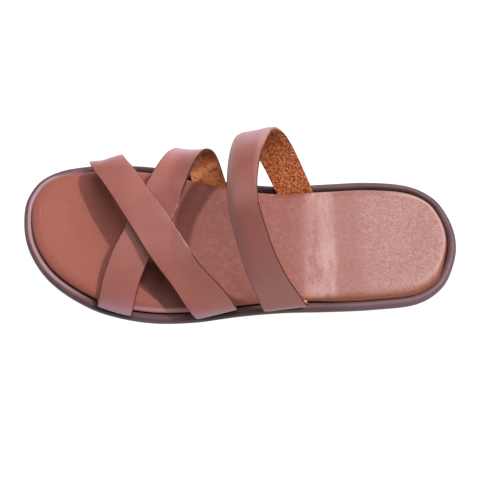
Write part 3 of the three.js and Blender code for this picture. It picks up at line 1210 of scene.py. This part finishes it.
@dataclass
class Footbed:
    """Padded footbed with a rolled edge that stands proud of the rim."""

    stand: float = 4.6 * MM
    edge_width: float = 5 * MM
    heel_edge_width: float = 2.8 * MM
    edge_fall: float = 3.2 * MM
    shoulder_fall: float = 4.2 * MM
    cup: float = 1.2 * MM
    cup_to: float = 0.2
    bulge: float = 1.5 * MM
    heel_bulge: float = 0.45 * MM
    outer_bulge: float = 2.3 * MM
    shoulder_bulge: float = 2.9 * MM
    roll_height: float = 0.22 * MM
    roll_at: float = 0.31
    roll_width: float = 0.022
    flex_depth: float = 0.07 * MM
    flex_at: tuple[float, float] = (0.655, 0.69)
    flex_width: float = 0.006
    flex_slant: float = 0.12
    fill: float = 0.9
    steps: int = 360
    edge_steps: int = 12
    across: int = 90
    finish: InsoleLeather = field(default_factory=InsoleLeather)

    def relief(self, points: Array) -> Array:
        """Low forms of the padding: a soft roll before the heel and flex troughs at the ball.

        Args:
            points: Points of the top.

        Returns:
            Height to add to each.
        """
        share = FORM.share(points[..., 0])
        place = share - self.flex_slant * points[..., 1]
        roll = np.exp(-(((share - self.roll_at) / self.roll_width) ** 2))
        flex = sum(np.exp(-(((place - at) / self.flex_width) ** 2)) for at in self.flex_at)
        return self.roll_height * roll - self.flex_depth * flex

    def bulge_at(self, angle: Array, share: Array) -> Array:
        """How far the rolled edge swells over the channel: little round the heel, most on the outer side.

        Args:
            angle: Angles round the outline.
            share: Share of the length at each.

        Returns:
            The swelling at each.
        """
        inner = self.heel_bulge + (self.bulge - self.heel_bulge) * smooth(0.42, 0.52, share)
        outer = self.heel_bulge + (self.outer_bulge - self.heel_bulge) * smooth(0, 0.06, share)
        outer = outer + (self.bulge - outer) * smooth(0.73, 0.85, share)
        return np.where(angle > np.pi, outer, inner)

    def rings(self) -> Array:
        """Rings from the underside up over the rolled edge, which is wider at the outer heel.

        Returns:
            Points by ring, place round it and axis.
        """
        angle = np.linspace(0, 2 * np.pi, self.steps, endpoint=False)
        share = (1 - np.cos(angle)) / 2
        near = smooth(0.004, 0.06, share) * (1 - smooth(0.26, 0.34, share)) * (angle > np.pi)
        tip = 1 - smooth(0.02, 0.14, share)
        bulge = self.bulge_at(angle, share)
        bulge = bulge + (self.shoulder_bulge - bulge) * near
        fall = self.edge_fall + (self.shoulder_fall - self.edge_fall) * near
        width = self.edge_width + (self.heel_edge_width - self.edge_width) * tip * (1 - near)
        wall = np.full_like(angle, FORM.footbed_inset)
        lines = [(wall, FORM.clearance - FORM.recess_depth)]
        for bend in np.linspace(0, np.pi / 2, self.edge_steps + 1):
            roll = (width + bulge) * (1 - math.cos(bend))
            lines.append((wall - bulge + roll, self.stand - fall * (1 - math.sin(bend))))
        stack = []
        for inset, height in lines:
            flat = FORM.outline(angle, inset)
            stack.append(np.column_stack([flat, FORM.rim_top(flat[:, 0]) + height]))
        return np.array(stack)

    def top(self, edge: Array) -> Array:
        """Points of the cupped top, row by row from the heel, each from the outer side to the inner.

        Args:
            edge: Points of the ring round the top.

        Returns:
            Points by row, place across it and axis.
        """
        half = self.steps // 2
        share = np.linspace(0, 1, self.across + 1)[1:-1, None]
        inner, outer = edge[1:half, None], edge[:half:-1, None]
        points = outer + (inner - outer) * share
        gap = np.linalg.norm(points[:, :, None, :2] - edge[::2, :2], axis=-1).min(axis=-1)
        inward = smooth(0, self.cup_to * FORM.ball_width, gap)
        points[..., 2] = FORM.rim_top(points[..., 0]) + self.stand - self.cup * inward
        points[..., 2] += self.relief(points) * inward
        return points

    def top_faces(self, base: int, first: int) -> list[tuple[int, ...]]:
        """Faces of the top.

        Args:
            base: Index of the first point of the ring round it.
            first: Index of its own first point.

        Returns:
            Its faces.
        """
        half = self.steps // 2
        side = np.arange(1, half)
        index = np.empty((half - 1, self.across + 1), int)
        index[:, 0], index[:, -1] = base + self.steps - side, base + side
        index[:, 1:-1] = first + np.arange((half - 1) * (self.across - 1)).reshape(half - 1, -1)
        corners = index[:-1, :-1], index[:-1, 1:], index[1:, 1:], index[1:, :-1]
        faces = [tuple(q) for q in np.stack(corners, -1).reshape(-1, 4).tolist()]
        for k in range(self.across):
            faces.append((base, int(index[0, k + 1]), int(index[0, k])))
            faces.append((int(index[-1, k]), int(index[-1, k + 1]), base + half))
        return faces

    def build(self) -> bpy.types.Object:
        """Makes the footbed.

        Returns:
            The finished piece.
        """
        rings = self.rings()
        points = np.concatenate([rings.reshape(-1, 3), self.top(rings[-1]).reshape(-1, 3)])
        count = len(rings)
        faces = [tuple(q) for q in grid_faces(count, self.steps, wrap=True).tolist()]
        faces += self.top_faces((count - 1) * self.steps, count * self.steps)
        faces += end_cap(self.steps, 0, True)
        piece = make_object("padded_footbed", points, faces)
        piece.data.materials.append(self.finish.build("footbed_leather"))
        settle(piece, "footbed_leather", "footbed")
        return piece


@dataclass
class Band:
    """One leather band over the last, from the outer to the inner channel."""

    name: str
    cut: Table
    node: str
    materials: tuple[bpy.types.Material, ...]
    thickness: float = FORM.strap_thickness
    rows: int = 200
    columns: int = 24
    tail_rows: int = 4
    crown: float = 0.25 * MM
    grain_round: float = 0.4 * MM
    flesh_round: float = 0.15 * MM
    rise_lean: float = 0.36
    hem: tuple[float, float] = (0.0, 0.0)
    hem_at: float = 0.09
    hem_foot: float = 1.6 * MM
    end_share: float = 1 / 44
    nap_margin: float = 0.06
    sharp_degrees: float = 50.0

    def centre(self, way: Array, wide: Array) -> Array:
        """Middle of the hide.

        Args:
            way: Way over the last. Past 0 and 1 the ends go down into the channel.
            wide: Share across the band, from its front edge.

        Returns:
            Points, in the last axis.
        """
        on = np.clip(way, 0, 1)
        back, front = self.cut.at("back", on), self.cut.at("front", on)
        points = FORM.last(front + (back - front) * wide, on)
        points[..., 2] -= (FORM.recess_depth - FORM.clearance) / self.end_share * np.abs(way - on)
        start = smooth(0, self.hem_at, on)
        spread = np.where(on < self.hem_at, start, 1 - smooth(self.hem_at, 4 * self.hem_at, on))
        rise = MM * self.cut.at("rise", on)
        points[..., 0] += wide * (self.hem_foot * (1 - start) - self.hem[0] * spread)
        points[..., 1] += self.rise_lean * rise - wide * self.hem[1] * spread
        points[..., 2] += rise
        return points

    def frame_of(self, way: Array, wide: Array) -> tuple[Array, Array]:
        """Middle of the hide, raised where it rides over the other strap, and its outward normal.

        Args:
            way: Way over the last.
            wide: Share across the band.

        Returns:
            Points and normals.
        """
        step = 1e-3
        along = self.centre(way + step, wide) - self.centre(way - step, wide)
        sideways = self.centre(way, wide + step) - self.centre(way, wide - step)
        normal = np.cross(sideways, along)
        normal /= np.linalg.norm(normal, axis=-1, keepdims=True)
        ride = self.thickness * self.cut.at("ride", np.clip(way, 0, 1), True)
        return self.centre(way, wide) + normal * ride[..., None], normal

    def section(self) -> Array:
        """Cross-section of the band.

        Returns:
            Share across, distance on from there, height from the middle and hide face, one point a row.
        """
        half = self.thickness / 2
        turn = np.linspace(0, np.pi / 2, 5)
        grain, flesh = self.grain_round, self.flesh_round
        upper = [(grain * (1 - math.sin(t)), half - grain * (1 - math.cos(t))) for t in turn]
        lower = [(flesh * (1 - math.cos(t)), -half + flesh * (1 - math.sin(t))) for t in turn[::2]]
        span = np.linspace(0, 1, self.columns + 1)[1:-1]
        rows = [(0.0, d, h, Face.CUT) for d, h in reversed(upper)]
        rows += [(s, 0.0, half, Face.GRAIN) for s in span]
        rows += [(1.0, -d, h, Face.CUT) for d, h in upper + lower]
        rows += [(s, 0.0, -half, Face.FLESH) for s in reversed(span)]
        rows += [(0.0, d, h, Face.CUT) for d, h in reversed(lower)]
        return np.array(rows, float)

    def strips(self, section: Array) -> tuple[Array, Array]:
        """What the strip from each point of the section to the next is.

        Args:
            section: The cross-section.

        Returns:
            Material slot of each strip, and whether nap grows on it.
        """
        following = np.roll(section, -1, axis=0)
        slot, after = section[:, 3], following[:, 3]
        flesh = np.maximum(slot, after) == Face.FLESH
        strip = np.where(slot == after, slot, np.where(flesh, Face.FLESH, Face.GRAIN)).astype(int)
        off_middle = np.abs((section[:, 0] + following[:, 0]) / 2 - 0.5)
        return strip, (strip == Face.FLESH) & (off_middle < 0.5 - self.nap_margin)

    def build(self) -> bpy.types.Object:
        """Makes the band.

        Returns:
            The finished piece.
        """
        section = self.section()
        tail = np.linspace(-self.end_share, 0, self.tail_rows + 1)[:-1]
        way = np.concatenate([tail, np.linspace(0, 1, self.rows + 1), 1 - tail[::-1]])
        middle, _ = self.frame_of(way, np.full_like(way, 0.5))
        run = np.concatenate([[0], np.cumsum(np.linalg.norm(np.diff(middle, axis=0), axis=1))])
        edges = self.centre(way, np.ones_like(way)) - self.centre(way, np.zeros_like(way))
        width = np.linalg.norm(edges, axis=1)[:, None]
        share = section[:, 0] + section[:, 1] / width
        rows, columns = len(way), len(section)
        points, normal = self.frame_of(np.repeat(way[:, None], columns, 1), share)
        crown = -self.crown * (2 * share - 1) ** 4
        points = points + normal * (section[:, 2] + crown)[..., None]
        uv = np.stack([share * width, np.repeat(run[:, None], columns, 1)], -1).reshape(-1, 2)
        top = (rows - 1) * columns
        ends = [tuple(range(columns))[::-1], tuple(range(top, top + columns))]
        faces = [tuple(q) for q in grid_faces(rows, columns, wrap=True).tolist()] + ends
        strip, napped = self.strips(section)
        slots = np.concatenate([np.tile(strip, rows - 1), [Face.CUT, Face.CUT]])
        piece = make_object(self.name, points.reshape(-1, 3), faces, slots, uv)
        for material in self.materials:
            piece.data.materials.append(material)
        napped = np.concatenate([np.tile(napped, rows - 1), [False, False]])
        mark = piece.data.attributes.new(NAP_MARK, "FLOAT", "FACE")
        mark.data.foreach_set("value", napped.astype(np.float32))
        soften(piece, self.sharp_degrees)
        return settle(piece, "strap_leather", self.node)


@dataclass
class Nap:
    """Short curled fibres of the flesh side, scattered by Geometry Nodes."""

    per_square_metre: float = 1.0e6
    length: float = 1.7 * MM
    thickness: float = 0.22 * MM
    seed: int = 4
    tilt: float = 0.35
    growth: tuple[float, float] = (0.5, 1.35)

    def tree(self) -> bpy.types.GeometryNodeTree:
        """Builds the node tree with its named inputs.

        Returns:
            The tree.
        """
        tree = bpy.data.node_groups.new("nap", "GeometryNodeTree")
        kinds = {
            "Geometry": "NodeSocketGeometry",
            "Density": "NodeSocketFloat",
            "Fibre Length": "NodeSocketFloat",
            "Fibre Thickness": "NodeSocketFloat",
            "Seed": "NodeSocketInt",
            "Material": "NodeSocketMaterial",
        }
        for name, kind in kinds.items():
            tree.interface.new_socket(name, in_out="INPUT", socket_type=kind)
        tree.interface.new_socket("Geometry", in_out="OUTPUT", socket_type="NodeSocketGeometry")
        given = tree.nodes.new("NodeGroupInput").outputs
        result = tree.nodes.new("NodeGroupOutput").inputs

        def add(kind: str, settings: dict[str, Any], sockets: dict[str, Any]) -> list[bpy.types.NodeSocket]:
            """Adds a node.

            Args:
                kind: Node type.
                settings: Properties, set first.
                sockets: Value or link of each input, by name.

            Returns:
                The node's outputs that are in use, in their order.
            """
            node = tree.nodes.new(kind)
            for key, value in settings.items():
                setattr(node, key, value)
            for key, value in sockets.items():
                entry = next(s for s in node.inputs if s.name == key and s.enabled)
                if isinstance(value, bpy.types.NodeSocket):
                    tree.links.new(value, entry)
                else:
                    entry.default_value = value
            return [s for s in node.outputs if s.enabled]

        seed = given["Seed"]
        flesh = add("GeometryNodeInputNamedAttribute", {"data_type": "FLOAT"}, {"Name": NAP_MARK})
        above = {"data_type": "FLOAT", "operation": "GREATER_THAN"}
        chosen = add("FunctionNodeCompare", above, {"A": flesh[0], "B": 0.5})
        points, _, rotation = add(
            "GeometryNodeDistributePointsOnFaces",
            {"distribute_method": "RANDOM"},
            {"Mesh": given["Geometry"], "Selection": chosen[0], "Density": given["Density"], "Seed": seed},
        )
        curl = add(
            "GeometryNodeCurveQuadraticBezier",
            {},
            {"Resolution": 3, "Start": (-0.5, 0.0, -0.05), "Middle": (0.0, 0.5, 0.55), "End": (0.5, 0.0, 0.0)},
        )
        scale = add("ShaderNodeCombineXYZ", {}, dict.fromkeys("XYZ", given["Fibre Length"]))
        sized = add("GeometryNodeTransform", {}, {"Geometry": curl[0], "Scale": scale[0]})
        radius = {"Resolution": 3, "Radius": given["Fibre Thickness"]}
        ring = add("GeometryNodeCurvePrimitiveCircle", {"mode": "RADIUS"}, radius)
        strand = add("GeometryNodeCurveToMesh", {}, {"Curve": sized[0], "Profile Curve": ring[0]})
        tilt = self.tilt
        turns = {"Min": (-tilt, -tilt, 0.0), "Max": (tilt, tilt, 2 * math.pi), "Seed": seed}
        turn = add("FunctionNodeRandomValue", {"data_type": "FLOAT_VECTOR"}, turns)
        by = {"Rotation": rotation, "Rotate By": turn[0]}
        turned = add("FunctionNodeRotateRotation", {"rotation_space": "LOCAL"}, by)
        sizes = {"Min": self.growth[0], "Max": self.growth[1], "Seed": seed}
        grown = add("FunctionNodeRandomValue", {"data_type": "FLOAT"}, sizes)
        placed = add(
            "GeometryNodeInstanceOnPoints",
            {},
            {"Points": points, "Instance": strand[0], "Rotation": turned[0], "Scale": grown[0]},
        )
        real = add("GeometryNodeRealizeInstances", {}, {"Geometry": placed[0]})
        shaded_edge = add("GeometryNodeSetMaterial", {}, {"Geometry": real[0], "Material": given["Material"]})
        tree.links.new(shaded_edge[0], result["Geometry"])
        return tree

    def grow(
        self, band: bpy.types.Object, tree: bpy.types.GeometryNodeTree, material: bpy.types.Material
    ) -> bpy.types.Object:
        """Grows the nap of one band as its own piece.

        Args:
            band: The leather band.
            tree: The nap's node tree.
            material: Finish of the fibres.

        Returns:
            The nap as a plain mesh.
        """
        piece = bpy.data.objects.new(band.name + "_nap", band.data.copy())
        bpy.context.scene.collection.objects.link(piece)
        modifier = piece.modifiers.new("nap", "NODES")
        modifier.node_group = tree
        values = {
            "Density": self.per_square_metre,
            "Fibre Length": self.length,
            "Fibre Thickness": self.thickness / 2,
            "Seed": self.seed,
            "Material": material,
        }
        for item in tree.interface.items_tree:
            if item.item_type == "SOCKET" and item.in_out == "INPUT" and item.name in values:
                modifier[item.identifier] = values[item.name]
        apply_modifiers(piece)
        return settle(piece, "strap_leather")


@dataclass
class Straps:
    """The leather upper: two crossed bands over the toes and one over the instep."""

    grain: GrainLeather = field(default_factory=GrainLeather)
    cut_edge: CutEdge = field(default_factory=CutEdge)
    flesh: FleshSide = field(default_factory=FleshSide)
    fibre: Fibre = field(default_factory=Fibre)
    nap: Nap = field(default_factory=Nap)
    short_nap: Nap = field(default_factory=lambda: Nap(3.5e5, 0.9 * MM, 0.09 * MM, 7))
    lower_hem: tuple[float, float] = (0.0, 0.0)
    upper_hem: tuple[float, float] = (2.2 * MM, 3.0 * MM)
    instep_hem: tuple[float, float] = (3.2 * MM, 2.0 * MM)

    def build(self) -> list[bpy.types.Object]:
        """Makes the three bands and their nap.

        Returns:
            The finished pieces.
        """
        finishes = (
            self.grain.build("strap_leather"),
            self.cut_edge.build("strap_cut_edge"),
            self.flesh.build("strap_flesh_side"),
        )
        fibre = self.fibre.build("strap_fibre")
        tree = self.nap.tree()
        pieces = []
        for name, cut, node, hem, nap in (
            ("lower_cross_strap", LOWER_CROSS_CUT, "cross_straps", self.lower_hem, self.short_nap),
            ("upper_cross_strap", UPPER_CROSS_CUT, "cross_straps", self.upper_hem, self.short_nap),
            ("instep_band", INSTEP_CUT, "instep_strap", self.instep_hem, self.nap),
        ):
            band = Band(name, cut, node, finishes, hem=hem).build()
            pieces += [band, nap.grow(band, tree, fibre)]
        return pieces


# ---------------------------------------------------------------- studio


@dataclass(frozen=True)
class Lamp:
    """A round soft light that looks at the slipper, in degrees, metres and watts."""

    name: str
    azimuth: float
    elevation: float
    power: float
    distance: float = 0.9
    size: float = 0.6
    colour: Colour = (1.0, 1.0, 1.0)

    def hang(self, target: Vector) -> None:
        """Hangs the lamp.

        Args:
            target: Point that it looks at.
        """
        data = bpy.data.lights.new(self.name, "AREA")
        data.shape, data.size, data.energy, data.color = "DISK", self.size, self.power, self.colour
        lamp = bpy.data.objects.new(self.name, data)
        turn, tilt = math.radians(self.azimuth), math.radians(self.elevation)
        towards = Vector((math.cos(tilt) * math.cos(turn), math.cos(tilt) * math.sin(turn), math.sin(tilt)))
        aim(lamp, target, towards, self.distance)


@dataclass
class Studio:
    """Pale floor, soft studio light and the camera at the photo's angle."""

    elevation: float = 70.0
    distance: float = 408.4 * MM
    target: tuple[float, float, float] = (-2.95 * MM, 5.18 * MM, 19.45 * MM)
    focal_pixels: float = 632.1
    frame_pixels: float = 484.0
    sensor: float = 36.0
    clip: tuple[float, float] = (0.01, 20.0)
    lamps: tuple[Lamp, ...] = (
        Lamp("key", azimuth=200.0, elevation=57.0, power=51.0, distance=3.0, size=0.12),
        Lamp("soft", azimuth=210.0, elevation=70.0, power=4.1, size=0.7),
        Lamp("back", azimuth=268.0, elevation=16.0, power=2.0, colour=(0.94, 0.9, 1.0)),
        Lamp("low", azimuth=118.0, elevation=14.0, power=1.2, size=0.5),
        Lamp("toe", azimuth=352.0, elevation=32.0, power=1.3),
    )
    sky_strength: float = 0.14
    floor_half: float = 1.6
    floor_glow: float = 1.0
    floor_greys: tuple[Colour, Colour] = ((0.2, 0.2, 0.2), (0.24, 0.24, 0.24))
    glow_colour: Colour = (1.0, 0.995, 0.985)

    def camera(self) -> None:
        """Sets the camera."""
        data = bpy.data.cameras.new("camera")
        data.sensor_width = self.sensor
        data.lens = self.sensor * self.focal_pixels / self.frame_pixels
        data.clip_start, data.clip_end = self.clip
        camera = bpy.data.objects.new("camera", data)
        tilt = math.radians(self.elevation)
        aim(camera, Vector(self.target), Vector((0, math.cos(tilt), math.sin(tilt))), self.distance)
        bpy.context.scene.camera = camera

    def floor(self) -> None:
        """Lays the pale floor."""
        half = self.floor_half
        points = np.array([(-half, -half, 0), (half, -half, 0), (half, half, 0), (-half, half, 0)])
        floor = make_object("floor", points, [(0, 1, 2, 3)])
        bench = Bench("floor_white")
        white = bench.finish(
            Base_Color=bench.mix(bench.noise(3.0, 1, 0.4), *self.floor_greys),
            Roughness=0.9,
            Emission_Color=self.glow_colour,
            Emission_Strength=self.floor_glow,
        )
        floor.data.materials.append(white)
        floor.visible_diffuse = False

    def build(self) -> None:
        """Sets the studio."""
        self.camera()
        self.floor()
        for lamp in self.lamps:
            lamp.hang(Vector(self.target))
        world = bpy.data.worlds.new("studio")
        world.use_nodes = True
        sky = world.node_tree.nodes["Background"].inputs
        sky["Color"].default_value = (1.0, 1.0, 1.0, 1.0)
        sky["Strength"].default_value = self.sky_strength
        scene = bpy.context.scene
        scene.world = world
        scene.view_settings.view_transform = "Standard"
        log.info("studio: %s lights and a white surround", ", ".join(lamp.name for lamp in self.lamps))


def main() -> None:
    """Builds the slipper and its studio."""
    logging.basicConfig(level=logging.INFO, format="%(name)s %(message)s")
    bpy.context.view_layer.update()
    Studio().build()
    Sole().build()
    Footbed().build()
    Straps().build()


if __name__ == "__main__":
    main()
